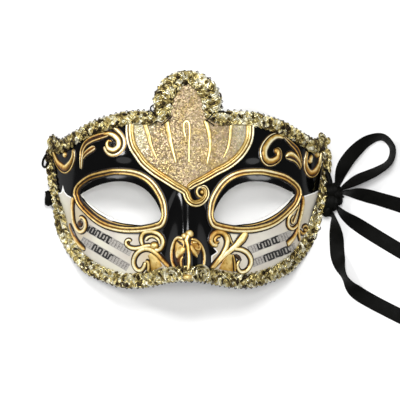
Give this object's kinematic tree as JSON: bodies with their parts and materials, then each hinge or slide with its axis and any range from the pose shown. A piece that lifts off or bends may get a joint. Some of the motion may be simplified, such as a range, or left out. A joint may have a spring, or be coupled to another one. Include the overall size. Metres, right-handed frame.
{
  "type": "venetian half mask",
  "caption": "Moulded half mask with raised scrollwork, eye openings, braided edge and ribbon ties, lying face up.",
  "frame": {"origin": "on the floor below the middle of the mask with its braid, ribbons left out", "axes": "+X across the face towards the side with the knotted bow, +Y towards the crown, +Z out of the face; the mask lies face up"},
  "size_m": [0.2629, 0.1734, 0.0617],
  "materials": {
    "mask_face": "gloss black lacquer with cream cheeks, a glitter panel and gold scrollwork with dark edges",
    "gold_braid": "metallic gold and silver thread, plaited, with small picots",
    "black_ribbon": "black satin"
  },
  "bodies": {
    "root": {"mask_shell": "mask_face", "edge_braid": "gold_braid", "right_tie_anchor": "black_ribbon", "right_tie_knot": "black_ribbon", "right_tie_loop": "black_ribbon", "right_tie_upper_tail": "black_ribbon", "right_tie_middle_tail": "black_ribbon", "left_tie_anchor": "black_ribbon", "left_tie_knot": "black_ribbon", "left_tie_run": "black_ribbon"}
  },
  "joints": []
}
